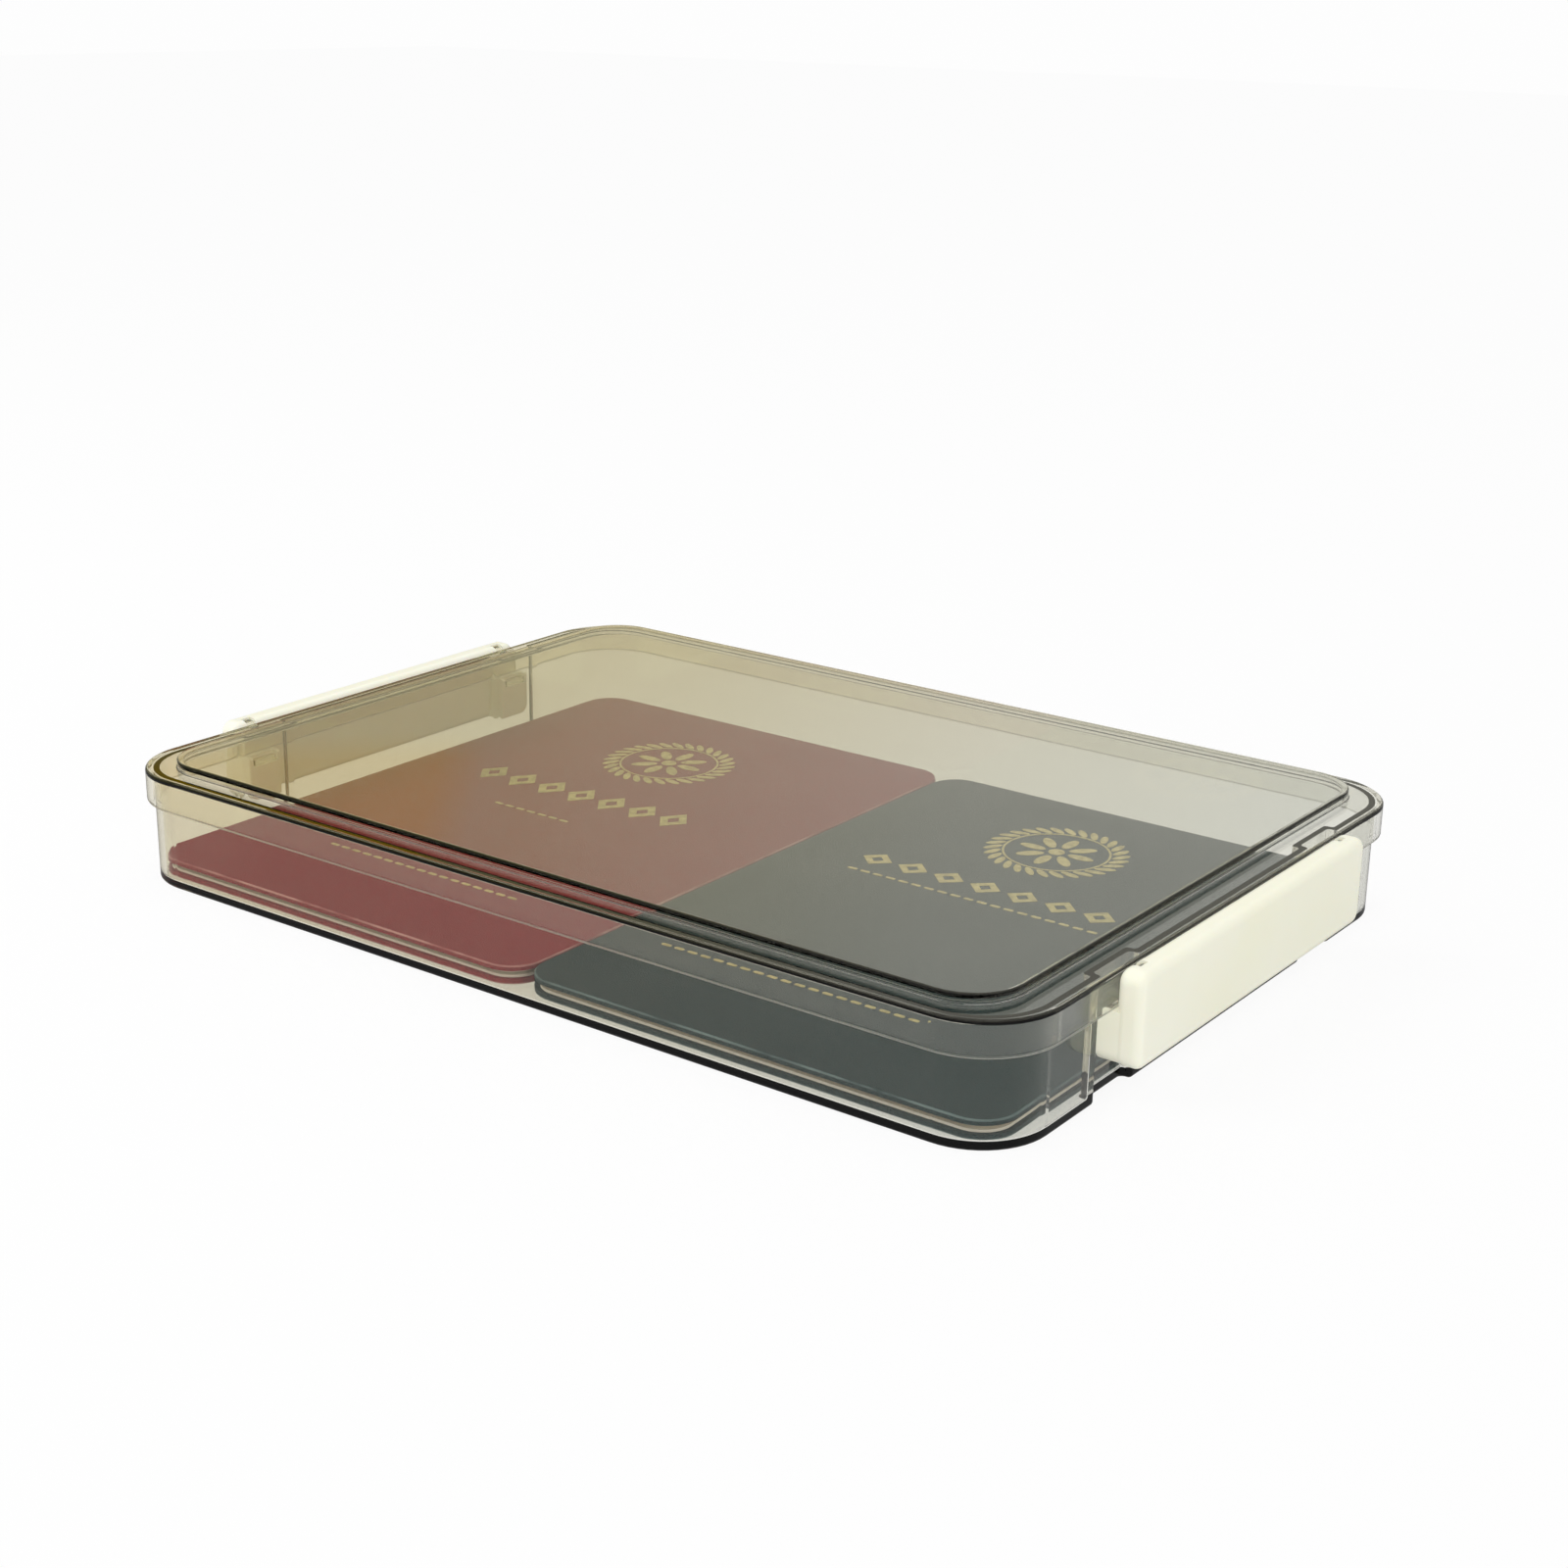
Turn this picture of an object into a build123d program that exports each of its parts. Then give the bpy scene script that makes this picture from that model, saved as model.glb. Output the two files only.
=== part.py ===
from build123d import *

import os

os.makedirs("parts", exist_ok=True)

# Certificate box: a clear tray and lid with two clip latches, holding two certificate folders.
# Millimetres, +Z up, +X along the length. The origin is the middle of the tray's underside.

# Certificate folders: a folded cover with linings, and a sheet held by four corner ribbons
folder_width = 163.6
folder_depth = 232.0
folder_thickness = 6.2
folder_edge_round = 0.7
board_thickness = 1.8
spine_thickness = 1.8
lining_thickness = 0.8
lining_margin = 1.5
sheet_thickness = 0.4
sheet_margin = 6.0
ribbon_thickness = 0.2
ribbon_reach = 24.0
ribbon_band = 7.0

# How the folders lie in the tray, which is sized round them
folders_apart = 0.8
folders_forward = 0.3
folder_end_gap = 0.9
folder_side_gap = 2.9
folder_corner_step = 9.4

# Lid
lid_sheet = 2.0
skirt_wall = 2.0
skirt_height = 11.0
skirt_edge_round = 0.6
flange_edge_round = 0.9

# Raised panel in the middle of the lid
panel_rise = 3.0
panel_inset_end = 11.5
panel_inset_side = 8.0
panel_corner = 17.0
panel_edge_round = 0.7
panel_foot_round = 0.4

# Tray
tray_height = 36.4
tray_wall = 2.0
tray_floor = 2.2
tray_corner = 22.4
lid_fit_gap = 0.6
tray_bottom_round = 1.3
tray_inner_round = 0.8

# Pockets in the tray's end walls, which the latch hooks drop into
pocket_side_gap = 3.0
pocket_depth = 3.0
pocket_corner_round = 1.4
bump_corner_round = 1.2

# Catch ledges that the hooks grip under
ledge_width = 10.0
ledge_reach = 2.5
ledge_thickness = 2.0
ledge_top_z = 26.0

# Latches
latch_length = 142.0
latch_thickness = 8.2
latch_bottom_z = 11.0
latch_above_flange = 1.0
latch_gap = 0.3
latch_corner = 4.0
latch_edge_round = 2.6
barrel_radius = 2.9
barrel_flat = 0.05

# Hooks on the back of each latch
hook_length = 14.0
hook_inset = 0.3
hook_gap = 0.3
hook_top_gap = 0.4
hook_edge_round = 0.8
ledge_gap = 0.4
ledge_side_gap = 0.5

# Latch hinges: lugs on the lid's skirt, and pins moulded across slots in the latch
hinge_end = 8.0
pin_radius = 1.1
pin_running_gap = 0.05
lug_width = 3.6
lug_radius = 2.1
lug_gap = 0.3
lug_side_gap = 0.3
slot_past_pin = 1.0
root_overlap = 0.4

# Gilt medallion stamped on each cover
foil_thickness = 0.12
medallion_leaves = 30
leaf_ring_radius = 21.6
leaf_length = 7.2
leaf_width = 2.6
leaf_turn = 38.0
ring_outer_radius = 18.4
ring_width = 0.8
petal_count = 8
petal_inner_radius = 4.4
petal_length = 9.6
petal_width = 4.0
hub_radius = 2.8

# Gilt ornament rows stamped on each cover: lozenges for the large row, beads for the small ones
lozenge_spacing = 14.0
lozenge_width = 11.5
lozenge_hole = 0.42
bead_spacing = 5.0
bead_length = 3.6
bead_height = 1.5
bead_round = 0.7

# Each cover's ornament: places across from the middle, then down from the back edge or up from
# the front edge, then row lengths, and the lozenges' height
covers = {
    "red": {
        "side": -1,
        "medallion": (-5.6, 54.2),
        "lozenges": (-6.3, 102.7, 98.0, 15.0),
        "back_beads": (-8.3, 127.0, 35.0),
        "front_beads": (0.4, 44.1, 86.0),
    },
    "green": {
        "side": 1,
        "medallion": (-8.6, 46.7),
        "lozenges": (-9.6, 90.2, 98.0, 11.0),
        "back_beads": (-8.3, 102.3, 95.0),
        "front_beads": (-16.2, 44.5, 93.0),
    },
}

# Worked out from the sizes above
cavity_length = 2 * (folder_width + folder_end_gap + pocket_depth) + folders_apart
cavity_depth = folder_depth + 2 * folder_side_gap
cavity_corner = tray_corner - tray_wall
tray_length = cavity_length + 2 * tray_wall
tray_depth = cavity_depth + 2 * tray_wall
straight_end = tray_depth / 2 - tray_corner
hook_centre_y = (latch_length - hook_length) / 2 - hook_inset
pocket_width = hook_length + 2 * pocket_side_gap
pocket_wall_x = tray_length / 2 - pocket_depth
bump_width = pocket_width + 2 * tray_wall

skirt_length = tray_length + 2 * lid_fit_gap
skirt_depth = tray_depth + 2 * lid_fit_gap
skirt_corner = tray_corner + lid_fit_gap
lid_length = skirt_length + 2 * skirt_wall
lid_depth = skirt_depth + 2 * skirt_wall
lid_corner = skirt_corner + skirt_wall
flange_top_z = tray_height + lid_sheet
skirt_bottom_z = flange_top_z - skirt_height
panel_length = lid_length - 2 * panel_inset_end
panel_depth = lid_depth - 2 * panel_inset_side

latch_back_x = lid_length / 2 + latch_gap
latch_front_x = latch_back_x + latch_thickness
latch_top_z = flange_top_z + latch_above_flange
pin_x = latch_back_x + barrel_radius
pin_z = latch_top_z - barrel_radius
lug_root_x = lid_length / 2 - root_overlap

hook_face_x = pocket_wall_x + hook_gap
hook_root_x = latch_front_x - latch_edge_round - root_overlap
hook_top_z = skirt_bottom_z - hook_top_gap
hook_bottom_z = latch_bottom_z + hook_inset
hook_corner = latch_corner - hook_inset
hinge_y = latch_length / 2 - hinge_end
ledge_root_x = pocket_wall_x - root_overlap
ledge_face_x = pocket_wall_x + ledge_reach
nose_top_z = ledge_top_z - ledge_thickness - ledge_gap
notch_face_x = ledge_face_x + ledge_gap
notch_back_x = hook_face_x - root_overlap
notch_width = ledge_width + 2 * ledge_side_gap

slot_width = lug_width + 2 * lug_side_gap
slot_radius = lug_radius + lug_gap
slot_back_x = latch_back_x - root_overlap
slot_front_x = pin_x + slot_past_pin
slot_bottom_z = pin_z - slot_radius
slot_top_z = latch_top_z + root_overlap

folder_bottom_z = tray_floor
folder_top_z = folder_bottom_z + folder_thickness
folder_corner = cavity_corner - folder_corner_step
back_inner_z = folder_bottom_z + board_thickness
front_inner_z = folder_top_z - board_thickness
sheet_bottom_z = back_inner_z + lining_thickness
sheet_top_z = sheet_bottom_z + sheet_thickness
lining_corner = folder_corner - lining_margin
lining_width = folder_width - spine_thickness - lining_margin
lining_depth = folder_depth - 2 * lining_margin
sheet_width = lining_width - 2 * (sheet_margin - lining_margin)
sheet_depth = lining_depth - 2 * (sheet_margin - lining_margin)

# Tray: one clear moulding with two pockets in each end wall
with BuildSketch() as tray_outline:
    RectangleRounded(tray_length, tray_depth, tray_corner)
    with GridLocations(tray_length, 2 * hook_centre_y, 2, 2):
        Rectangle(2 * pocket_depth, pocket_width, mode=Mode.SUBTRACT)
    pocket_corners = tray_outline.vertices().filter_by(lambda v: abs(v.Y) < straight_end - 1)
    fillet(pocket_corners, radius=pocket_corner_round)

with BuildSketch() as cavity_outline:
    RectangleRounded(cavity_length, cavity_depth, cavity_corner)
    with GridLocations(cavity_length, 2 * hook_centre_y, 2, 2):
        Rectangle(2 * pocket_depth, bump_width, mode=Mode.SUBTRACT)
    bump_corners = cavity_outline.vertices().filter_by(lambda v: abs(v.Y) < straight_end - 1)
    fillet(bump_corners, radius=bump_corner_round)

with BuildPart() as tray:
    add(tray_outline.sketch)
    extrude(amount=tray_height)
    fillet(tray.faces().sort_by(Axis.Z)[0].edges(), radius=tray_bottom_round)
    with BuildSketch(Plane.XY.offset(tray_floor)):
        add(cavity_outline.sketch)
    extrude(amount=tray_height, mode=Mode.SUBTRACT)
    floor_edges = tray.edges(Select.LAST).group_by(Axis.Z)[0]
    fillet(floor_edges, radius=tray_inner_round)
    # Catch ledges on the pocket walls
    with BuildSketch(Plane.XY.offset(ledge_top_z - ledge_thickness)):
        with GridLocations(ledge_root_x + ledge_face_x, 2 * hook_centre_y, 2, 2):
            Rectangle(ledge_face_x - ledge_root_x, ledge_width)
    extrude(amount=ledge_thickness)
tray.part.label = "tray"
export_step(tray.part, "parts/tray.step")

# Lid: a flange and skirt over the tray's rim, a raised panel, and hinge lugs at both ends
with BuildPart() as lid:
    with BuildSketch(Plane.XY.offset(skirt_bottom_z)):
        RectangleRounded(lid_length, lid_depth, lid_corner)
    extrude(amount=skirt_height)
    fillet(lid.faces().sort_by(Axis.Z)[-1].edges(), radius=flange_edge_round)
    fillet(lid.faces().sort_by(Axis.Z)[0].edges(), radius=skirt_edge_round)
    with BuildSketch(Plane.XY.offset(flange_top_z)):
        RectangleRounded(panel_length, panel_depth, panel_corner)
    extrude(amount=panel_rise)
    panel_foot = lid.edges(Select.LAST).group_by(Axis.Z)[0]
    fillet(panel_foot, radius=panel_foot_round)
    fillet(lid.faces().sort_by(Axis.Z)[-1].edges(), radius=panel_edge_round)
    # Room inside the skirt for the tray's rim, then the hollow under the panel
    with BuildSketch(Plane.XY.offset(skirt_bottom_z)):
        RectangleRounded(skirt_length, skirt_depth, skirt_corner)
    extrude(amount=skirt_height - lid_sheet, mode=Mode.SUBTRACT)
    with BuildSketch(Plane.XY.offset(tray_height)):
        RectangleRounded(
            panel_length - 2 * lid_sheet, panel_depth - 2 * lid_sheet, panel_corner - lid_sheet
        )
    extrude(amount=panel_rise, mode=Mode.SUBTRACT)
    # Hinge lugs, each a short arm from the skirt with a bored eye
    for side in (-1, 1):
        for lug_y in (-hinge_y, hinge_y):
            with BuildSketch(Plane.XZ.offset(-lug_y - lug_width / 2)):
                with Locations((side * (lug_root_x + pin_x) / 2, pin_z - lug_radius / 2)):
                    Rectangle(pin_x - lug_root_x, lug_radius)
                with Locations((side * pin_x, pin_z)):
                    Circle(lug_radius)
                    Circle(pin_radius + pin_running_gap, mode=Mode.SUBTRACT)
            extrude(amount=lug_width)
lid.part.label = "lid"
export_step(lid.part, "parts/lid.step")

# Latches: a bar with two hooks below, and two moulded hinge pins near the top
for name, side in (("left_latch", -1), ("right_latch", 1)):
    with BuildPart() as latch:
        with BuildSketch(Plane.YZ.offset(side * latch_back_x)):
            with Locations((0, (latch_bottom_z + latch_top_z) / 2)):
                RectangleRounded(latch_length, latch_top_z - latch_bottom_z, latch_corner)
        extrude(amount=side * latch_thickness)
        outward = Axis((0, 0, 0), (side, 0, 0))
        fillet(latch.faces().sort_by(outward)[0].edges(), radius=barrel_radius - barrel_flat)
        fillet(latch.faces().sort_by(outward)[-1].edges(), radius=latch_edge_round)
        # Hooks that reach in under the skirt, rounded below like the bar's ends
        with BuildSketch(Plane.YZ.offset(side * hook_face_x)) as hook_outline:
            with Locations((0, (hook_bottom_z + hook_top_z) / 2)):
                with GridLocations(2 * hook_centre_y, 0, 2, 1):
                    Rectangle(hook_length, hook_top_z - hook_bottom_z)
            low_corners = hook_outline.vertices().group_by(Axis.Y)[0].sort_by(Axis.X)
            fillet([low_corners[0], low_corners[-1]], radius=hook_corner)
        extrude(amount=side * (hook_root_x - hook_face_x))
        hook_faces = latch.faces().sort_by(outward)[:2]
        fillet(hook_faces.edges(), radius=hook_edge_round)
        # Room for the catch ledges above the hooks' noses
        with BuildSketch(Plane.XY.offset(nose_top_z)):
            for hook_y in (-hook_centre_y, hook_centre_y):
                with Locations((side * (notch_back_x + notch_face_x) / 2, hook_y)):
                    Rectangle(notch_face_x - notch_back_x, notch_width)
        extrude(amount=hook_top_z - nose_top_z + root_overlap, mode=Mode.SUBTRACT)
        for slot_y in (-hinge_y, hinge_y):
            # Room for the lid's lug, open at the back and along the top for the swing
            slot_plane = Plane.XZ.offset(-slot_y - slot_width / 2)
            with BuildSketch(slot_plane):
                with Locations((side * pin_x, pin_z)):
                    Circle(slot_radius)
                with Locations(
                    (side * (slot_back_x + slot_front_x) / 2, (slot_bottom_z + slot_top_z) / 2)
                ):
                    Rectangle(slot_front_x - slot_back_x, slot_top_z - slot_bottom_z)
            extrude(amount=slot_width, mode=Mode.SUBTRACT)
            # Hinge pin across that room
            with BuildSketch(slot_plane.offset(-root_overlap)):
                with Locations((side * pin_x, pin_z)):
                    Circle(pin_radius)
            extrude(amount=slot_width + 2 * root_overlap)
    latch.part.label = name
    export_step(latch.part, f"parts/{name}.step")

# Folders lie side by side on the tray's floor, spines to the left
for colour, cover in covers.items():
    middle_x = cover["side"] * (folders_apart + folder_width) / 2
    middle_y = -folders_forward
    back_y = middle_y + folder_depth / 2
    front_y = middle_y - folder_depth / 2
    inside_x = middle_x + (spine_thickness - lining_margin) / 2

    # Cover: back board, spine and front board in one folded piece
    with BuildPart() as folded_cover:
        with BuildSketch(Plane.XY.offset(folder_bottom_z)):
            with Locations((middle_x, middle_y)):
                RectangleRounded(folder_width, folder_depth, folder_corner)
        extrude(amount=folder_thickness)
        for outer_face in folded_cover.faces().filter_by(Axis.Z):
            fillet(outer_face.edges(), radius=folder_edge_round)
        with BuildSketch(Plane.XY.offset(back_inner_z)):
            with Locations((middle_x + spine_thickness, middle_y)):
                Rectangle(folder_width, folder_depth)
        extrude(amount=front_inner_z - back_inner_z, mode=Mode.SUBTRACT)
    folded_cover.part.label = f"{colour}_folded_cover"
    export_step(folded_cover.part, f"parts/{colour}_folded_cover.step")

    # Linings glued inside both boards
    for name, lining_z in (
        (f"{colour}_back_lining", back_inner_z),
        (f"{colour}_front_lining", front_inner_z - lining_thickness),
    ):
        with BuildPart() as lining:
            with BuildSketch(Plane.XY.offset(lining_z)):
                with Locations((inside_x, middle_y)):
                    RectangleRounded(lining_width, lining_depth, lining_corner)
            extrude(amount=lining_thickness)
        lining.part.label = name
        export_step(lining.part, f"parts/{name}.step")

    # Certificate sheet
    with BuildPart() as sheet:
        with BuildSketch(Plane.XY.offset(sheet_bottom_z)):
            with Locations((inside_x, middle_y)):
                Rectangle(sheet_width, sheet_depth)
        extrude(amount=sheet_thickness)
    sheet.part.label = f"{colour}_certificate_sheet"
    export_step(sheet.part, f"parts/{colour}_certificate_sheet.step")

    # Ribbons across the sheet's four corners, two separate bands on each long side
    with BuildPart() as ribbons:
        with BuildSketch(Plane.XY.offset(sheet_top_z)):
            for across in (-1, 1):
                for up in (-1, 1):
                    corner_x = inside_x + across * sheet_width / 2
                    corner_y = middle_y + up * sheet_depth / 2
                    with BuildLine():
                        Polyline(
                            (corner_x - across * ribbon_reach, corner_y),
                            (corner_x, corner_y - up * ribbon_reach),
                            (corner_x, corner_y - up * (ribbon_reach - ribbon_band)),
                            (corner_x - across * (ribbon_reach - ribbon_band), corner_y),
                            close=True,
                        )
                    make_face()
        extrude(amount=ribbon_thickness)
    ribbons.part.label = f"{colour}_corner_ribbons"
    export_step(ribbons.part, f"parts/{colour}_corner_ribbons.step")

    # Gilt medallion: slanted leaves round a ring, with an eight-petal flower inside
    medallion_x = middle_x + cover["medallion"][0]
    medallion_y = back_y - cover["medallion"][1]
    with BuildPart() as medallion:
        with BuildSketch(Plane.XY.offset(folder_top_z)):
            with Locations((medallion_x, medallion_y)):
                Circle(ring_outer_radius)
                Circle(ring_outer_radius - ring_width, mode=Mode.SUBTRACT)
                Circle(hub_radius)
                with PolarLocations(leaf_ring_radius, medallion_leaves):
                    Ellipse(leaf_length / 2, leaf_width / 2, rotation=leaf_turn)
                with PolarLocations(petal_inner_radius + petal_length / 2, petal_count):
                    Ellipse(petal_length / 2, petal_width / 2)
        extrude(amount=foil_thickness)
    medallion.part.label = f"{colour}_gilt_medallion"
    export_step(medallion.part, f"parts/{colour}_gilt_medallion.step")

    # Gilt rows: lozenges with open middles, and small rounded beads
    with BuildPart() as rows:
        with BuildSketch(Plane.XY.offset(folder_top_z)):
            row_x, row_down, row_length, lozenge_height = cover["lozenges"]
            with Locations((middle_x + row_x, back_y - row_down)):
                with GridLocations(lozenge_spacing, 0, round(row_length / lozenge_spacing), 1):
                    for share, mode in ((1, Mode.ADD), (lozenge_hole, Mode.SUBTRACT)):
                        half_width = share * lozenge_width / 2
                        half_height = share * lozenge_height / 2
                        Polygon(
                            (-half_width, 0),
                            (0, half_height),
                            (half_width, 0),
                            (0, -half_height),
                            mode=mode,
                        )
            for edge_y, inward, beads in ((back_y, -1, "back_beads"), (front_y, 1, "front_beads")):
                row_x, row_in, row_length = cover[beads]
                with Locations((middle_x + row_x, edge_y + inward * row_in)):
                    with GridLocations(bead_spacing, 0, round(row_length / bead_spacing), 1):
                        RectangleRounded(bead_length, bead_height, bead_round)
        extrude(amount=foil_thickness)
    rows.part.label = f"{colour}_gilt_rows"
    export_step(rows.part, f"parts/{colour}_gilt_rows.step")
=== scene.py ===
import logging
import math
from dataclasses import dataclass, field
from enum import Enum

import bpy
from mathutils import Matrix, Vector

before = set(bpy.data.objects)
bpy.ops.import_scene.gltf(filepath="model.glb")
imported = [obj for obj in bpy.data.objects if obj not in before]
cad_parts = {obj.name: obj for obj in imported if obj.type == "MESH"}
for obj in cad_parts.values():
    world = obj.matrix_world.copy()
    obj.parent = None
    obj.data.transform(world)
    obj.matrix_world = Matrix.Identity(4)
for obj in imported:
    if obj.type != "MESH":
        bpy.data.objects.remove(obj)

LOG = logging.getLogger("certificate_box")
PHOTO_PIXELS = 1600
SENSOR_MM = 36.0

Colour = tuple[float, float, float]
Material = bpy.types.Material
NodeTree = bpy.types.NodeTree
Piece = bpy.types.Object


class Ray(Enum):
    """Light Path outputs that the finishes and the backdrop ask about."""

    CAMERA = "Is Camera Ray"
    SHADOW = "Is Shadow Ray"
    DIFFUSE = "Is Diffuse Ray"
    GLOSSY = "Is Glossy Ray"
    TRANSMISSION = "Is Transmission Ray"


class FolderColour(Enum):
    """The two folders, by the word that their node names start with."""

    RED = "red"
    GREEN = "green"


def rgba(colour: Colour) -> tuple[float, float, float, float]:
    """Returns the colour with a full alpha, as a colour socket takes it."""
    return (*colour, 1.0)


@dataclass
class Shader:
    """A short way to write a shader node tree.

    Args:
        tree: the node tree of a material, a world or a node group.
    """

    tree: NodeTree

    def node(self, kind: str, **values: object) -> bpy.types.Node:
        """Adds a node.

        Args:
            kind: the node's type without the ShaderNode prefix.
            values: properties of the node, set by name.

        Returns:
            The new node.
        """
        made = self.tree.nodes.new("ShaderNode" + kind)
        for name, value in values.items():
            setattr(made, name, value)
        return made

    def link(self, source: bpy.types.NodeSocket, target: bpy.types.NodeSocket) -> None:
        """Joins an output socket to an input socket."""
        self.tree.links.new(source, target)

    def math(self, operation: str, a: object, b: object = 0.0) -> bpy.types.NodeSocket:
        """Adds a Math node.

        Args:
            operation: the node's operation, such as MULTIPLY.
            a: a number or an output socket.
            b: a number or an output socket.

        Returns:
            The node's output socket.
        """
        made = self.node("Math", operation=operation)
        for socket, value in zip(made.inputs, (a, b)):
            if isinstance(value, bpy.types.NodeSocket):
                self.link(value, socket)
            else:
                socket.default_value = value
        return made.outputs[0]

    def ramp(self, source: bpy.types.NodeSocket, low: float, high: float) -> bpy.types.NodeSocket:
        """Spreads the part of a value between low and high over 0 to 1.

        Args:
            source: the value's output socket.
            low: the value that becomes 0.
            high: the value that becomes 1.

        Returns:
            The spread value's output socket.
        """
        made = self.node("MapRange")
        self.link(source, made.inputs["Value"])
        made.inputs["From Min"].default_value = low
        made.inputs["From Max"].default_value = high
        return made.outputs["Result"]

    def noise(self, scale: float, detail: float, at: bpy.types.NodeSocket) -> bpy.types.NodeSocket:
        """Adds a noise texture over a position.

        Args:
            scale: how fine the noise is, in waves per metre.
            detail: how many finer layers it has.
            at: the position's output socket.

        Returns:
            The noise's output socket, from 0 to 1.
        """
        made = self.node("TexNoise")
        made.inputs["Scale"].default_value = scale
        made.inputs["Detail"].default_value = detail
        self.link(at, made.inputs["Vector"])
        return made.outputs["Fac"]

    def mix(self, share: bpy.types.NodeSocket, a: object, b: object) -> bpy.types.NodeSocket:
        """Mixes two colours.

        Args:
            share: how much of the second colour shows.
            a: the first colour, as numbers or an output socket.
            b: the second colour, as numbers or an output socket.

        Returns:
            The mixed colour's output socket.
        """
        made = self.node("Mix", data_type="RGBA")
        self.link(share, made.inputs["Factor"])
        for name, value in (("A", a), ("B", b)):
            socket = [s for s in made.inputs if s.name == name and s.type == "RGBA"][0]
            if isinstance(value, bpy.types.NodeSocket):
                self.link(value, socket)
            else:
                socket.default_value = rgba(value)
        return [s for s in made.outputs if s.type == "RGBA"][0]

    def position(self) -> bpy.types.NodeSocket:
        """Returns the object's own coordinates, in metres."""
        return self.node("TexCoord").outputs["Object"]

    def bump(self, height: bpy.types.NodeSocket, depth: float) -> bpy.types.NodeSocket:
        """Turns a height into a normal.

        Args:
            height: the height's output socket, from 0 to 1.
            depth: how deep the surface is from height 1 to height 0, in metres.

        Returns:
            The normal's output socket.
        """
        made = self.node("Bump")
        made.inputs["Strength"].default_value = 1.0
        made.inputs["Distance"].default_value = depth
        self.link(height, made.inputs["Height"])
        return made.outputs["Normal"]

    def for_ray(
        self, ray: Ray, otherwise: bpy.types.NodeSocket, then: bpy.types.NodeSocket
    ) -> bpy.types.NodeSocket:
        """Shows one shader to one kind of ray and another to the rest.

        Args:
            ray: the kind of ray.
            otherwise: the shader that other rays meet.
            then: the shader that this kind of ray meets.

        Returns:
            The mixed shader's output socket.
        """
        made = self.node("MixShader")
        self.link(self.node("LightPath").outputs[ray.value], made.inputs[0])
        self.link(otherwise, made.inputs[1])
        self.link(then, made.inputs[2])
        return made.outputs[0]


def new_group(name: str, inputs: dict[str, float], outputs: tuple[str, ...]) -> NodeTree:
    """Makes an empty shader node group with number sockets.

    Args:
        name: the group's name.
        inputs: each input's name and default value.
        outputs: the names of the outputs.

    Returns:
        The group's node tree.
    """
    tree = bpy.data.node_groups.new(name, "ShaderNodeTree")
    for socket_name, value in inputs.items():
        made = tree.interface.new_socket(socket_name, in_out="INPUT", socket_type="NodeSocketFloat")
        made.default_value = value
    for socket_name in outputs:
        tree.interface.new_socket(socket_name, in_out="OUTPUT", socket_type="NodeSocketFloat")
    return tree


def handling_marks() -> NodeTree:
    """Builds the group of faint scuffs and smudges that handled plastic and foil carry.

    Returns:
        A group whose Scuffs and Smudges outputs run from 0 to 1 over the surface.
    """
    line_stretch, line_turn = (40.0, 420.0, 160.0), (0.2, 0.1, 0.6)
    tree = new_group("handling_marks", {"Scale": 1.0}, ("Scuffs", "Smudges"))
    shader = Shader(tree)
    given = tree.nodes.new("NodeGroupInput")
    result = tree.nodes.new("NodeGroupOutput")
    scaled = shader.node("VectorMath", operation="SCALE")
    shader.link(shader.position(), scaled.inputs[0])
    shader.link(given.outputs["Scale"], scaled.inputs["Scale"])
    stretched = shader.node("Mapping")
    stretched.inputs["Scale"].default_value = line_stretch
    stretched.inputs["Rotation"].default_value = line_turn
    shader.link(scaled.outputs[0], stretched.inputs["Vector"])
    lines = shader.noise(scale=2.0, detail=6.0, at=stretched.outputs["Vector"])
    patches = shader.noise(scale=18.0, detail=3.0, at=scaled.outputs[0])
    in_line = shader.ramp(lines, low=0.62, high=0.72)
    in_patch = shader.ramp(patches, low=0.45, high=0.7)
    shader.link(shader.math("MULTIPLY", in_line, in_patch), result.inputs["Scuffs"])
    shader.link(shader.ramp(patches, low=0.35, high=0.8), result.inputs["Smudges"])
    return tree


def pebble_grain() -> NodeTree:
    """Builds the group of the pebbled grain pressed into leatherette.

    Returns:
        A group whose Height output is 0 in the creases and 1 on the pebbles, and whose Shade
        output drifts slowly from 0 to 1 over the surface.
    """
    wobble_scale, wobble_reach, crease_width = 600.0, 0.0006, 0.35
    tree = new_group("pebble_grain", {"Pebbles": 1400.0}, ("Height", "Shade"))
    shader = Shader(tree)
    given = tree.nodes.new("NodeGroupInput")
    result = tree.nodes.new("NodeGroupOutput")
    place = shader.position()
    cells = shader.node("TexVoronoi", feature="DISTANCE_TO_EDGE")
    wobble = shader.node("VectorMath", operation="ADD")
    drift = shader.node("TexNoise")
    drift.inputs["Scale"].default_value = wobble_scale
    shader.link(place, drift.inputs["Vector"])
    shrunk = shader.node("VectorMath", operation="SCALE")
    shrunk.inputs["Scale"].default_value = wobble_reach
    shader.link(drift.outputs["Color"], shrunk.inputs[0])
    shader.link(place, wobble.inputs[0])
    shader.link(shrunk.outputs[0], wobble.inputs[1])
    shader.link(wobble.outputs[0], cells.inputs["Vector"])
    shader.link(given.outputs["Pebbles"], cells.inputs["Scale"])
    height = shader.ramp(cells.outputs["Distance"], low=0.0, high=crease_width)
    shader.link(height, result.inputs["Height"])
    shader.link(shader.noise(scale=22.0, detail=4.0, at=place), result.inputs["Shade"])
    return tree


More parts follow.
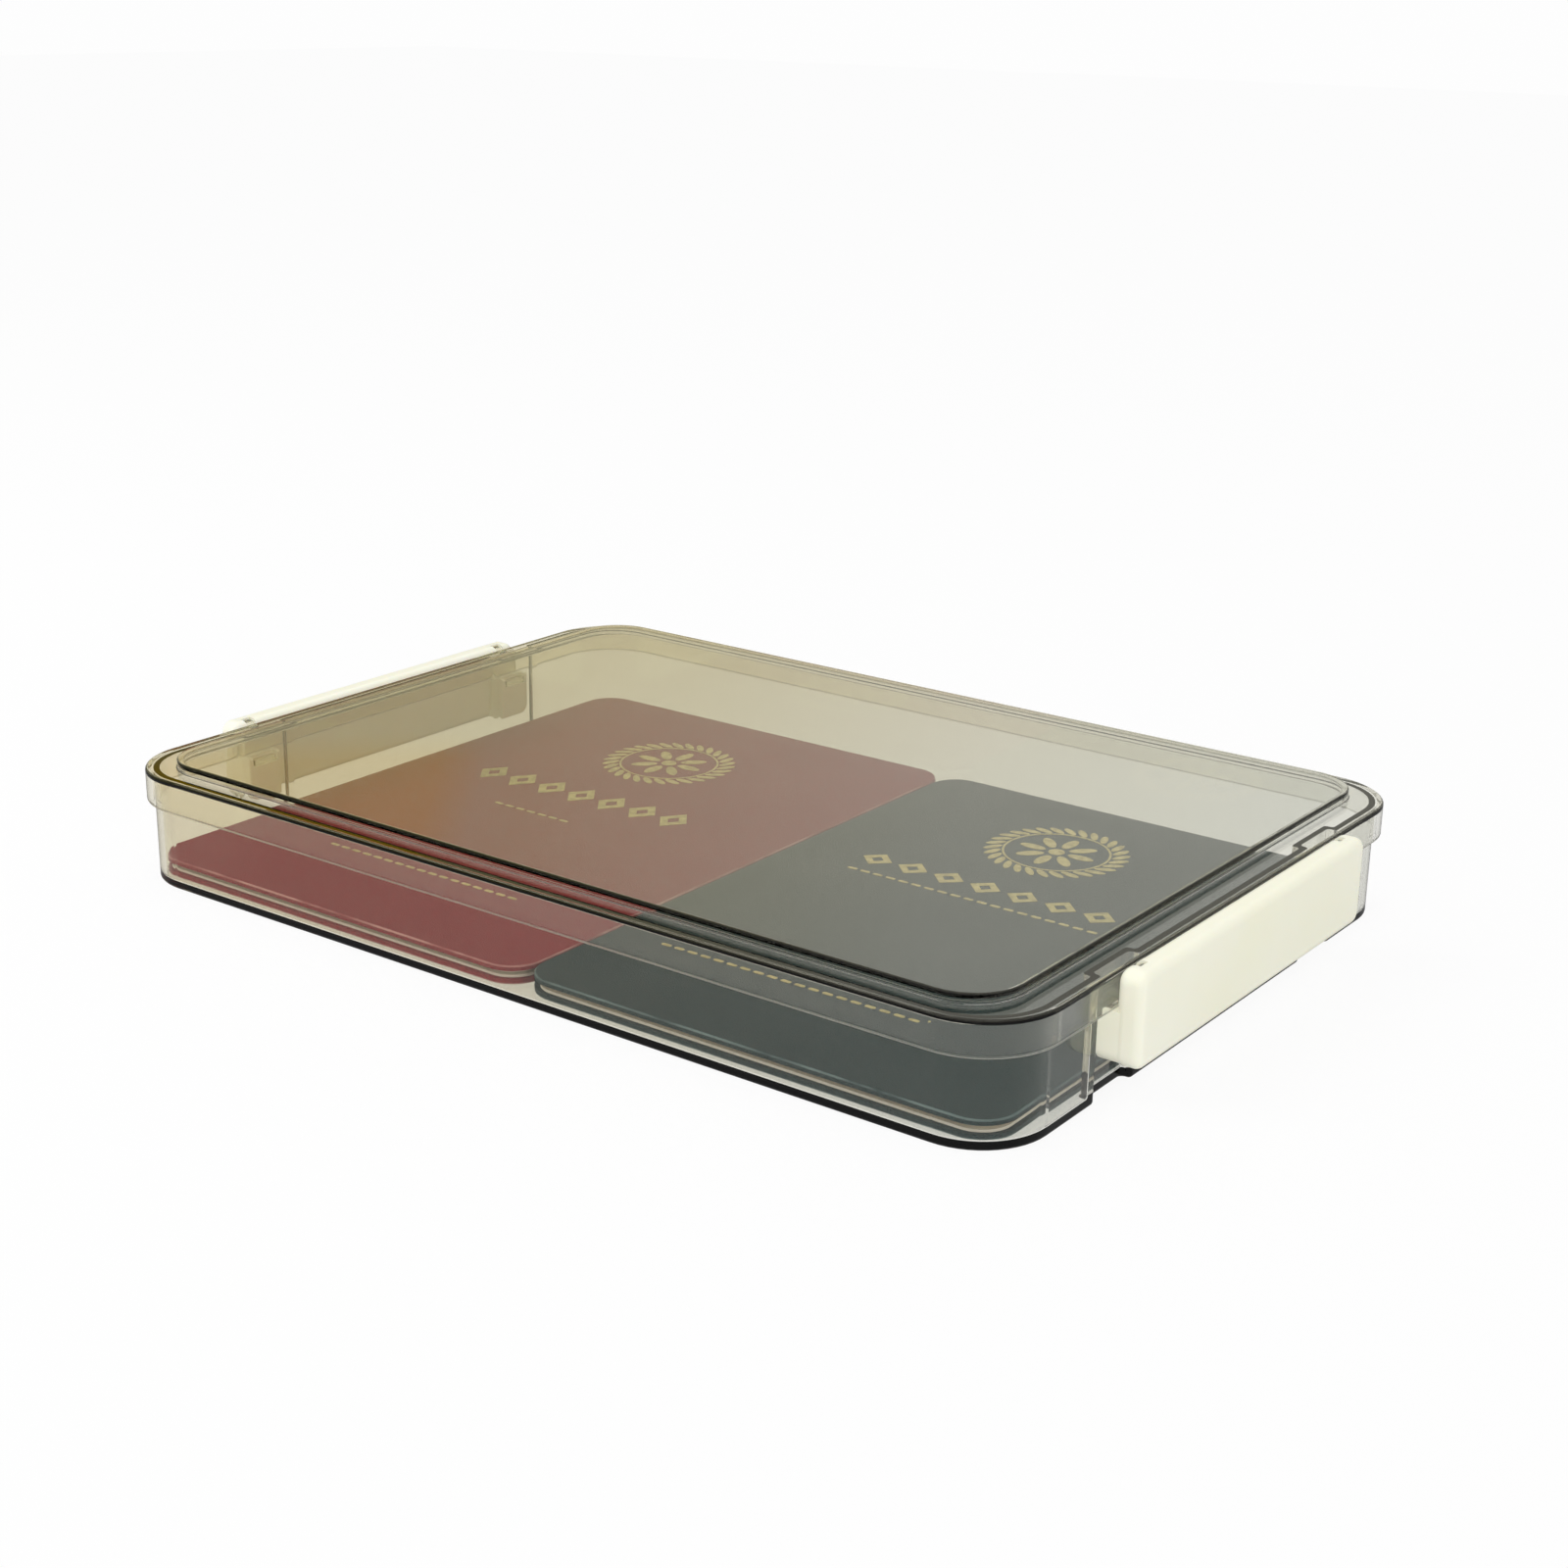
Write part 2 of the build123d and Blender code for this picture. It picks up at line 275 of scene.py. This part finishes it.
def edge_wear_and_painted_highlight() -> NodeTree:
    """Builds the group of the paler marks along a board's rounded edges: rub wear, and a painted
    highlight where the edges catch the light.

    Returns:
        A group whose WearAndHighlight output is 1 where a rounded edge carries the most rub wear
        and painted highlight.
    """
    tree = new_group("edge_wear_and_painted_highlight", {"Strength": 1.0}, ("WearAndHighlight",))
    shader = Shader(tree)
    given = tree.nodes.new("NodeGroupInput")
    result = tree.nodes.new("NodeGroupOutput")
    facing = shader.node("SeparateXYZ")
    shader.link(shader.node("TexCoord").outputs["Normal"], facing.inputs[0])
    upright = shader.math("ABSOLUTE", facing.outputs["Z"])
    off_flat = shader.ramp(upright, low=0.98, high=0.85)
    off_side = shader.ramp(upright, low=0.02, high=0.3)
    rounded = shader.math("MULTIPLY", off_flat, off_side)
    patches = shader.noise(scale=70.0, detail=4.0, at=shader.position())
    patchy = shader.ramp(patches, low=0.25, high=0.6)
    # Rounded edges in patches: rub wear, and a painted highlight standing in for light caught by
    # the edges.
    wear = shader.math("MULTIPLY", rounded, patchy)
    shader.link(shader.math("MULTIPLY", wear, given.outputs["Strength"]), result.inputs["WearAndHighlight"])
    return tree


def place_group(shader: Shader, tree: NodeTree, **values: float) -> bpy.types.Node:
    """Places a node group in a material.

    Args:
        shader: the material's shader.
        tree: the group's node tree.
        values: the group's inputs by name.

    Returns:
        The group node.
    """
    made = shader.node("Group", node_tree=tree)
    for name, value in values.items():
        made.inputs[name].default_value = value
    return made


def new_material(name: str) -> tuple[Material, Shader, bpy.types.Node, bpy.types.Node]:
    """Makes a material with one Principled shader.

    Args:
        name: the material's name.

    Returns:
        The material, its shader, the Principled node and the output node.
    """
    made = bpy.data.materials.new(name)
    made.use_nodes = True
    nodes = made.node_tree.nodes
    return made, Shader(made.node_tree), nodes["Principled BSDF"], nodes["Material Output"]


@dataclass(frozen=True)
class ClearPlastic:
    """Polished clear plastic with a smoky tint that deepens along its edges; its colour also
    carries a painted reflection, warm at the left and cool at the right, and a painted sheen that
    pales the walls.

    Args:
        name: the material's name.
        painted_sheen_share: how far the walls' tint is paled towards the painted sheen colour,
            against the lid's panel.
        rims: heights in metres of the moulding's unpolished rims.
        painted_sheen_below: the height in metres below which the walls' paler tint, a painted
            sheen, holds.
        tint: the colour that the plastic lets through best.
        density: how strongly the plastic takes light, per metre.
        left_tint_with_painted_reflection: the plastic's tint at the left end, with a warm cast
            painted on it for the reflection there.
        right_tint_with_painted_reflection: the plastic's tint at the right end, with a cool cast
            painted on it for the reflection there.
        left_wall_painted_sheen: the paler colour painted on the walls at the left end, standing in
            for their white sheen there.
        right_wall_painted_sheen: the paler colour painted on the walls at the right end, standing
            in for their white sheen there.
        painted_reflection_left_end: where along the box the painted left cast ends, in metres.
        painted_reflection_right_start: where along the box the painted right cast starts, in
            metres.
        refraction: the index of refraction.
        scuff_roughness: how rough a scuffed patch is.
        rim_roughness: how rough the rims are.
        rim_half: half the height of a rim in metres.
        rim_fade: how far a rim fades out beyond that, in metres.
        painted_sheen_fade: over what height the walls' painted sheen gives way to the panel's tint,
            in metres.
    """

    name: str
    painted_sheen_share: float
    rims: tuple[float, ...]
    painted_sheen_below: float
    tint: Colour = (0.62, 0.58, 0.44)
    density: float = 45.0
    left_tint_with_painted_reflection: Colour = (0.76, 0.72, 0.58)
    right_tint_with_painted_reflection: Colour = (0.79, 0.80, 0.76)
    left_wall_painted_sheen: Colour = (1.0, 0.97, 0.87)
    right_wall_painted_sheen: Colour = (1.0, 1.0, 0.98)
    painted_reflection_left_end: float = -0.12
    painted_reflection_right_start: float = 0.16
    refraction: float = 1.49
    scuff_roughness: float = 0.06
    rim_roughness: float = 0.6
    rim_half: float = 0.00012
    rim_fade: float = 0.0001
    painted_sheen_fade: float = 0.0002

    def build(self, marks: NodeTree) -> Material:
        """Builds the material.

        Args:
            marks: the handling marks group.

        Returns:
            The material.
        """
        made, shader, plastic, output = new_material(self.name)
        place = shader.node("SeparateXYZ")
        shader.link(shader.position(), place.inputs[0])
        # Painted reflection: the colour drifts from a warm cast at the left end to a cool one at
        # the right, standing in for the tent's reflection.
        drift = shader.ramp(place.outputs["X"], self.painted_reflection_left_end, self.painted_reflection_right_start)
        cast = shader.mix(drift, self.left_tint_with_painted_reflection, self.right_tint_with_painted_reflection)
        # Painted sheen: below the panel, the walls and flange pale towards a near-white colour,
        # standing in for the white sheen on them.
        pale = shader.ramp(place.outputs["Z"], self.painted_sheen_below + self.painted_sheen_fade, self.painted_sheen_below)
        pale = shader.math("MULTIPLY", pale, self.painted_sheen_share)
        wall_painted_sheen = shader.mix(drift, self.left_wall_painted_sheen, self.right_wall_painted_sheen)
        shader.link(shader.mix(pale, cast, wall_painted_sheen), plastic.inputs["Base Color"])
        plastic.inputs["Transmission Weight"].default_value = 1.0
        plastic.inputs["IOR"].default_value = self.refraction
        worn = place_group(shader, marks, Scale=1.0)
        rough = shader.math("MULTIPLY", worn.outputs["Scuffs"], self.scuff_roughness)
        for rim in self.rims:
            away = shader.math("ABSOLUTE", shader.math("SUBTRACT", place.outputs["Z"], rim))
            frosted = shader.ramp(away, self.rim_half + self.rim_fade, self.rim_half)
            frosted = shader.math("MULTIPLY", frosted, self.rim_roughness)
            rough = shader.math("MAXIMUM", rough, frosted)
        shader.link(rough, plastic.inputs["Roughness"])
        open_way = shader.node("BsdfTransparent")
        surface = shader.for_ray(Ray.SHADOW, plastic.outputs["BSDF"], open_way.outputs["BSDF"])
        surface = shader.for_ray(Ray.DIFFUSE, surface, open_way.outputs["BSDF"])
        shader.link(surface, output.inputs["Surface"])
        inside = shader.node("VolumeAbsorption")
        inside.inputs["Color"].default_value = rgba(self.tint)
        inside.inputs["Density"].default_value = self.density
        shader.link(inside.outputs["Volume"], output.inputs["Volume"])
        return made


@dataclass(frozen=True)
class IvoryPlastic:
    """Smooth moulded ivory plastic with a soft sheen.

    Args:
        name: the material's name.
        colour: the plastic's own colour.
        smudge_colour: the colour where it is a little handled.
        roughness: the roughness of the clean surface.
        scuff_roughness: how much rougher a scuffed patch is.
        refraction: the index of refraction.
        glow: how much light spreads under the surface.
        glow_reach: how far red, green and blue light spread there, in metres.
        ripple_depth: the depth in metres of the moulding's faint ripple.
    """

    name: str
    colour: Colour
    smudge_colour: Colour
    roughness: float = 0.32
    scuff_roughness: float = 0.15
    refraction: float = 1.5
    glow: float = 0.15
    glow_reach: Colour = (0.004, 0.003, 0.002)
    ripple_depth: float = 0.0001

    def build(self, marks: NodeTree) -> Material:
        """Builds the material.

        Args:
            marks: the handling marks group.

        Returns:
            The material.
        """
        made, shader, plastic, _ = new_material(self.name)
        worn = place_group(shader, marks, Scale=1.0)
        colour = shader.mix(worn.outputs["Smudges"], self.colour, self.smudge_colour)
        shader.link(colour, plastic.inputs["Base Color"])
        rough = shader.math("MULTIPLY", worn.outputs["Scuffs"], self.scuff_roughness)
        shader.link(shader.math("ADD", rough, self.roughness), plastic.inputs["Roughness"])
        plastic.inputs["IOR"].default_value = self.refraction
        plastic.inputs["Subsurface Weight"].default_value = self.glow
        plastic.inputs["Subsurface Radius"].default_value = self.glow_reach
        plastic.inputs["Subsurface Scale"].default_value = 1.0
        ripple = shader.noise(scale=60.0, detail=2.0, at=shader.position())
        shader.link(shader.bump(ripple, self.ripple_depth), plastic.inputs["Normal"])
        return made


@dataclass(frozen=True)
class Leatherette:
    """Pebbled leatherette over board.

    Args:
        name: the material's name.
        colour: the colour on the pebbles.
        crease_colour: the colour in the creases.
        worn_and_highlight_colour: the paler colour of the rounded edges, for rub wear and a painted
            highlight.
        roughness: the roughness on the pebbles.
        gloss: the strength of the surface's reflections.
        depth: the depth of the creases in metres.
        wear_and_highlight_strength: how strongly the paler edges, rub wear and painted highlight,
            show.
        roughness_drift: how far the roughness drifts over the cover.
    """

    name: str
    colour: Colour
    crease_colour: Colour
    worn_and_highlight_colour: Colour
    roughness: float = 0.50
    gloss: float = 0.30
    depth: float = 0.00009
    wear_and_highlight_strength: float = 0.7
    roughness_drift: float = 0.2

    def build(self, grain: NodeTree, wear: NodeTree) -> Material:
        """Builds the material.

        Args:
            grain: the pebble grain group.
            wear: the group of edge wear and painted highlight.

        Returns:
            The material.
        """
        made, shader, hide, _ = new_material(self.name)
        pressed = place_group(shader, grain)
        rubbed = place_group(shader, wear, Strength=self.wear_and_highlight_strength)
        colour = shader.mix(pressed.outputs["Height"], self.crease_colour, self.colour)
        # Paler rounded edges: rub wear, and a painted highlight where the edges catch the light.
        colour = shader.mix(rubbed.outputs["WearAndHighlight"], colour, self.worn_and_highlight_colour)
        shader.link(colour, hide.inputs["Base Color"])
        drift = shader.math("MULTIPLY", pressed.outputs["Shade"], self.roughness_drift)
        smoothest = self.roughness - self.roughness_drift / 2
        shader.link(shader.math("ADD", drift, smoothest), hide.inputs["Roughness"])
        hide.inputs["Specular IOR Level"].default_value = self.gloss
        shader.link(shader.bump(pressed.outputs["Height"], self.depth), hide.inputs["Normal"])
        return made


@dataclass(frozen=True)
class Paper:
    """Matt paper with a faint fibre.

    Args:
        name: the material's name.
        colour: the paper's colour.
        fibre_colour: the colour of the fibres.
        roughness: the roughness of the paper.
        fibre_depth: how deep the fibres lie, in metres.
    """

    name: str
    colour: Colour
    fibre_colour: Colour
    roughness: float = 0.85
    fibre_depth: float = 0.00003

    def build(self) -> Material:
        """Builds the material.

        Returns:
            The material.
        """
        made, shader, paper, _ = new_material(self.name)
        fibres = shader.noise(scale=900.0, detail=5.0, at=shader.position())
        share = shader.ramp(fibres, low=0.3, high=0.7)
        colour = shader.mix(share, self.colour, self.fibre_colour)
        shader.link(colour, paper.inputs["Base Color"])
        paper.inputs["Roughness"].default_value = self.roughness
        shader.link(shader.bump(fibres, self.fibre_depth), paper.inputs["Normal"])
        return made


@dataclass(frozen=True)
class Ribbon:
    """Satin ribbon with a fine rib across it.

    Args:
        name: the material's name.
        colour: the ribbon's colour.
        shade_colour: the colour between the ribs.
        rib_scale: how close the ribs lie.
        roughness: the roughness of the satin.
        sheen: the strength of its sheen.
        rib_depth: how deep the ribs are, in metres.
    """

    name: str
    colour: Colour
    shade_colour: Colour
    rib_scale: float = 60.0
    roughness: float = 0.4
    sheen: float = 0.3
    rib_depth: float = 0.00005

    def build(self) -> Material:
        """Builds the material.

        Returns:
            The material.
        """
        made, shader, satin, _ = new_material(self.name)
        ribs = shader.node("TexWave", wave_type="BANDS", bands_direction="DIAGONAL")
        ribs.inputs["Scale"].default_value = self.rib_scale
        shader.link(shader.position(), ribs.inputs["Vector"])
        colour = shader.mix(ribs.outputs["Fac"], self.shade_colour, self.colour)
        shader.link(colour, satin.inputs["Base Color"])
        satin.inputs["Roughness"].default_value = self.roughness
        satin.inputs["Sheen Weight"].default_value = self.sheen
        shader.link(shader.bump(ribs.outputs["Fac"], self.rib_depth), satin.inputs["Normal"])
        return made


@dataclass(frozen=True)
class Gilt:
    """Stamped gold foil, duller where it is rubbed.

    Args:
        name: the material's name.
        colour: the foil's colour.
        rubbed_colour: the colour where it is rubbed.
        roughness: the roughness of the bright foil.
        rubbed_roughness: how much rougher the rubbed foil is.
        metallic: how metallic the foil is.
        mark_scale: how small the rubbed patches are, against those on plastic.
        crinkle_depth: how deep the foil's crinkle is, in metres.
    """

    name: str
    colour: Colour
    rubbed_colour: Colour
    roughness: float = 0.3
    rubbed_roughness: float = 0.25
    metallic: float = 0.9
    mark_scale: float = 24.0
    crinkle_depth: float = 0.00004

    def build(self, marks: NodeTree) -> Material:
        """Builds the material.

        Args:
            marks: the handling marks group.

        Returns:
            The material.
        """
        made, shader, foil, _ = new_material(self.name)
        worn = place_group(shader, marks, Scale=self.mark_scale)
        colour = shader.mix(worn.outputs["Smudges"], self.colour, self.rubbed_colour)
        shader.link(colour, foil.inputs["Base Color"])
        foil.inputs["Metallic"].default_value = self.metallic
        dull = shader.math("MULTIPLY", worn.outputs["Smudges"], self.rubbed_roughness)
        shader.link(shader.math("ADD", dull, self.roughness), foil.inputs["Roughness"])
        crinkle = shader.noise(scale=1500.0, detail=3.0, at=shader.position())
        shader.link(shader.bump(crinkle, self.crinkle_depth), foil.inputs["Normal"])
        return made


def dress(node_name: str, material: Material) -> Piece:
    """Gives a CAD node its finish.

    Args:
        node_name: the CAD node's name.
        material: the finish.

    Returns:
        The node's object.
    """
    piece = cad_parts[node_name]
    piece.data.materials.clear()
    piece.data.materials.append(material)
    LOG.info("%s: %s", node_name, material.name)
    return piece


def height_range(node_name: str) -> tuple[float, float]:
    """Finds how low and how high a CAD node reaches.

    Args:
        node_name: the CAD node's name.

    Returns:
        The lowest and the highest Z of its mesh in metres, to a micrometre.
    """
    heights = [vertex.co.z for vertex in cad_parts[node_name].data.vertices]
    return round(min(heights), 6), round(max(heights), 6)


@dataclass
class Finishes:
    """Every finish of the box and its folders, each built once.

    Args:
        panel_rise: how far the lid's panel stands above its flange, in metres.
        painted_sheen_rise: how far above the flange the walls' paler tint, a painted sheen,
            reaches, in metres.
        foot_rise: how far above the flange the panel's frosted foot lies, in metres.
        rim_rise: how far above the skirt's lower edge its frosted rim lies, in metres.
    """

    panel_rise: float = 0.0030
    painted_sheen_rise: float = 0.0002
    foot_rise: float = 0.0003
    rim_rise: float = 0.0002
    tray_plastic: Material = field(init=False)
    lid_plastic: Material = field(init=False)
    ivory: Material = field(init=False)
    covers: dict[FolderColour, Material] = field(init=False)
    lining: Material = field(init=False)
    sheet: Material = field(init=False)
    ribbon: Material = field(init=False)
    gilt: Material = field(init=False)

    def __post_init__(self) -> None:
        """Builds the node groups and then the materials that use them."""
        marks = handling_marks()
        grain = pebble_grain()
        wear = edge_wear_and_painted_highlight()
        skirt_bottom, panel_top = height_range("lid")
        flange_top = panel_top - self.panel_rise
        # The walls' paler tint in both shells is a painted sheen; the tray and the lid take
        # different shares of it.
        self.tray_plastic = ClearPlastic(
            "tray_plastic", painted_sheen_share=0.45, rims=(), painted_sheen_below=flange_top + self.painted_sheen_rise
        ).build(marks)
        self.lid_plastic = ClearPlastic(
            "lid_plastic",
            painted_sheen_share=0.85,
            rims=(skirt_bottom + self.rim_rise, flange_top + self.foot_rise),
            painted_sheen_below=flange_top + self.painted_sheen_rise,
        ).build(marks)
        self.ivory = IvoryPlastic(
            "latch_ivory", colour=(0.96, 0.955, 0.83), smudge_colour=(0.93, 0.92, 0.73)
        ).build(marks)
        red_cover = Leatherette(
            "red_cover_grain",
            colour=(0.31, 0.020, 0.027),
            crease_colour=(0.18, 0.009, 0.013),
            # Paler edge colour: rub wear, and a painted highlight.
            worn_and_highlight_colour=(0.60, 0.34, 0.30),
        )
        green_cover = Leatherette(
            "green_cover_grain",
            colour=(0.009, 0.040, 0.041),
            crease_colour=(0.004, 0.018, 0.020),
            # Paler edge colour: rub wear, and a painted highlight.
            worn_and_highlight_colour=(0.20, 0.27, 0.26),
        )
        self.covers = {
            FolderColour.RED: red_cover.build(grain, wear),
            FolderColour.GREEN: green_cover.build(grain, wear),
        }
        self.lining = Paper(
            "folder_lining", colour=(0.86, 0.80, 0.68), fibre_colour=(0.80, 0.73, 0.60)
        ).build()
        self.sheet = Paper(
            "certificate_paper", colour=(0.93, 0.91, 0.86), fibre_colour=(0.88, 0.86, 0.80)
        ).build()
        self.ribbon = Ribbon(
            "corner_satin", colour=(0.80, 0.60, 0.28), shade_colour=(0.55, 0.38, 0.15)
        ).build()
        self.gilt = Gilt(
            "stamped_gilt", colour=(0.80, 0.68, 0.26), rubbed_colour=(0.48, 0.40, 0.16)
        ).build(marks)


@dataclass
class Shell:
    """The clear tray and lid."""

    finishes: Finishes

    def build(self) -> None:
        """Gives the tray and the lid their clear plastic."""
        dress("tray", self.finishes.tray_plastic)
        dress("lid", self.finishes.lid_plastic)


@dataclass
class Latches:
    """The two ivory clip latches."""

    finishes: Finishes

    def build(self) -> None:
        """Gives both latches the ivory plastic."""
        for node_name in ("left_latch", "right_latch"):
            dress(node_name, self.finishes.ivory)


@dataclass
class Folder:
    """One certificate folder.

    Args:
        colour: which of the two folders it is.
        finishes: the finishes to dress it in.
    """

    colour: FolderColour
    finishes: Finishes

    def build(self) -> None:
        """Dresses the cover, the linings, the sheet, the ribbons and the gilt."""
        parts = {
            "folded_cover": self.finishes.covers[self.colour],
            "back_lining": self.finishes.lining,
            "front_lining": self.finishes.lining,
            "certificate_sheet": self.finishes.sheet,
            "corner_ribbons": self.finishes.ribbon,
            "gilt_medallion": self.finishes.gilt,
            "gilt_rows": self.finishes.gilt,
        }
        for part, material in parts.items():
            dress(f"{self.colour.value}_{part}", material)


@dataclass(frozen=True)
class PhotoCamera:
    """The camera that took the photo, fitted to the box's edges.

    Args:
        azimuth: degrees round to the right from straight in front.
        elevation: degrees above the table.
        roll: degrees of turn about the line of sight.
        distance: metres from the frame's origin, along the line of sight.
        right: metres that the camera stands to its own right.
        up: metres that the camera stands above the line of sight.
        focal_pixels: the focal length in pixels of the photo.
    """

    azimuth: float = 36.227
    elevation: float = 18.501
    roll: float = 0.941
    distance: float = 0.8120
    right: float = 0.00881
    up: float = 0.03445
    focal_pixels: float = 2493.1

    def place(self) -> Piece:
        """Adds the camera and makes it the scene's own.

        Returns:
            The camera object.
        """
        around, above, turn = (math.radians(a) for a in (self.azimuth, self.elevation, self.roll))
        back = Vector(
            (
                math.sin(around) * math.cos(above),
                -math.cos(around) * math.cos(above),
                math.sin(above),
            )
        )
        level = Vector((math.cos(around), math.sin(around), 0))
        upright = back.cross(level)
        aside = level * math.cos(turn) + upright * math.sin(turn)
        upward = upright * math.cos(turn) - level * math.sin(turn)
        lens = bpy.data.cameras.new("photo_camera")
        lens.sensor_width = SENSOR_MM
        lens.lens = self.focal_pixels * SENSOR_MM / PHOTO_PIXELS
        lens.clip_start = 0.01
        camera = bpy.data.objects.new("photo_camera", lens)
        bpy.context.scene.collection.objects.link(camera)
        turned = Matrix((aside, upward, back)).transposed().to_4x4()
        place = back * self.distance + aside * self.right + upward * self.up
        camera.matrix_world = Matrix.Translation(place) @ turned
        bpy.context.scene.camera = camera
        return camera


@dataclass
class Studio:
    """A white tent of soft light over a pale floor.

    Args:
        sky_light: the strength of the light from all round on the object.
        low_glow: the strength of the tent that shiny faces show near the horizon.
        high_glow: the strength of the tent that shiny faces show overhead.
        left_glow: the tent's colour that shiny faces show at the left.
        right_glow: the tent's colour that shiny faces show at the right.
        card_glow: the colour of the amber card that the lid shows at its far left.
        glow_turn: between which world directions along X the left colour gives way to the right.
        card_edges: the card's soft edges: the world direction's axis, outside it and inside it.
        floor_half: half the floor's side in metres.
        floor_drop: how far the floor lies below the tray's underside in metres.
        floor_colour: the floor's colour.
        shadow_share: how much of the floor's own shading is seen on the white.
        white: the strength of the white behind the object.
        floor_white: the strength of the white that the floor's own shading is mixed into.
    """

    sky_light: float = 0.85
    low_glow: float = 0.27
    high_glow: float = 1.37
    left_glow: Colour = (0.68, 0.64, 0.33)
    right_glow: Colour = (1.0, 0.98, 0.84)
    card_glow: Colour = (0.80, 0.53, 0.03)
    glow_turn: tuple[float, float] = (-0.64, -0.50)
    card_edges: tuple[tuple[str, float, float], ...] = (
        ("X", -0.655, -0.669),
        ("Y", 0.56, 0.60),
        ("Z", 0.296, 0.306),
        ("Z", 0.38, 0.35),
    )
    floor_half: float = 6.0
    floor_drop: float = 0.0002
    floor_colour: Colour = (0.90, 0.90, 0.90)
    shadow_share: float = 0.10
    white: float = 0.985
    floor_white: float = 0.995

    def light_sky(self) -> None:
        """Sets the world: plain white to be seen, and soft light to see by."""
        world = bpy.data.worlds.new("tent")
        world.use_nodes = True
        bpy.context.scene.world = world
        shader = Shader(world.node_tree)
        seen = world.node_tree.nodes["Background"]
        seen.inputs["Color"].default_value = rgba((1.0, 1.0, 1.0))
        seen.inputs["Strength"].default_value = self.white
        light = shader.node("Background")
        light.inputs["Strength"].default_value = self.sky_light
        light.inputs["Color"].default_value = rgba((1.0, 1.0, 1.0))
        glow = shader.node("Background")
        way = shader.node("SeparateXYZ")
        shader.link(shader.node("TexCoord").outputs["Generated"], way.inputs[0])
        rise = shader.ramp(way.outputs["Z"], low=0.0, high=1.0)
        spread = shader.math("MULTIPLY", rise, self.high_glow - self.low_glow)
        shader.link(shader.math("ADD", spread, self.low_glow), glow.inputs["Strength"])
        across = shader.ramp(way.outputs["X"], *self.glow_turn)
        tent = shader.mix(across, self.left_glow, self.right_glow)
        edges = [shader.ramp(way.outputs[axis], *edge) for axis, *edge in self.card_edges]
        card = edges[0]
        for edge in edges[1:]:
            card = shader.math("MULTIPLY", card, edge)
        shader.link(shader.mix(card, tent, self.card_glow), glow.inputs["Color"])
        surface = shader.for_ray(Ray.GLOSSY, light.outputs[0], glow.outputs[0])
        for ray in (Ray.CAMERA, Ray.TRANSMISSION):
            surface = shader.for_ray(ray, surface, seen.outputs[0])
        shader.link(surface, world.node_tree.nodes["World Output"].inputs["Surface"])

    def lay_floor(self) -> None:
        """Adds the floor just under the object."""
        half = self.floor_half
        mesh = bpy.data.meshes.new("floor")
        corners = [(-half, -half), (half, -half), (half, half), (-half, half)]
        mesh.from_pydata([(*c, -self.floor_drop) for c in corners], [], [(0, 1, 2, 3)])
        floor = bpy.data.objects.new("floor", mesh)
        bpy.context.scene.collection.objects.link(floor)
        made, shader, paint, output = new_material("floor_paint")
        paint.inputs["Base Color"].default_value = rgba(self.floor_colour)
        paint.inputs["Roughness"].default_value = 1.0
        paint.inputs["Specular IOR Level"].default_value = 0.0
        white = shader.node("Emission")
        white.inputs["Strength"].default_value = self.floor_white
        seen = shader.node("MixShader")
        seen.inputs[0].default_value = self.shadow_share
        shader.link(white.outputs[0], seen.inputs[1])
        shader.link(paint.outputs["BSDF"], seen.inputs[2])
        glow = shader.node("Emission")
        glow.inputs["Strength"].default_value = self.low_glow
        surface = shader.for_ray(Ray.GLOSSY, paint.outputs["BSDF"], glow.outputs[0])
        for ray in (Ray.CAMERA, Ray.TRANSMISSION):
            surface = shader.for_ray(ray, surface, seen.outputs[0])
        shader.link(surface, output.inputs["Surface"])
        mesh.materials.append(made)

    def hang_lamp(self, name: str, at: Vector, size: tuple[float, float], watts: float) -> None:
        """Hangs a soft lamp that points at the object and shows in no shiny or clear piece.

        Args:
            name: the lamp's name.
            at: where it hangs, in metres.
            size: the lamp's width and height in metres.
            watts: its power.
        """
        lamp = bpy.data.lights.new(name, "AREA")
        lamp.shape = "RECTANGLE"
        lamp.size, lamp.size_y = size
        lamp.energy = watts
        made = bpy.data.objects.new(name, lamp)
        bpy.context.scene.collection.objects.link(made)
        made.location = at
        made.rotation_euler = (-at).to_track_quat("-Z", "Y").to_euler()
        made.visible_glossy = False
        made.visible_transmission = False

    def build(self) -> None:
        """Sets up the light and the floor."""
        self.light_sky()
        self.lay_floor()
        self.hang_lamp("key_lamp", at=Vector((-0.85, -0.75, 1.1)), size=(0.8, 0.8), watts=6.6)
        self.hang_lamp("fill_lamp", at=Vector((1.3, -0.5, 0.5)), size=(0.7, 0.7), watts=2.2)
        bpy.context.scene.view_settings.view_transform = "Standard"


def main() -> None:
    """Builds the camera, the studio and the object's finishes in order."""
    logging.basicConfig(level=logging.INFO, format="%(message)s")
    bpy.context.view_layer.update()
    PhotoCamera().place()
    Studio().build()
    finishes = Finishes()
    Shell(finishes).build()
    Latches(finishes).build()
    for colour in FolderColour:
        Folder(colour, finishes).build()


if __name__ == "__main__":
    main()
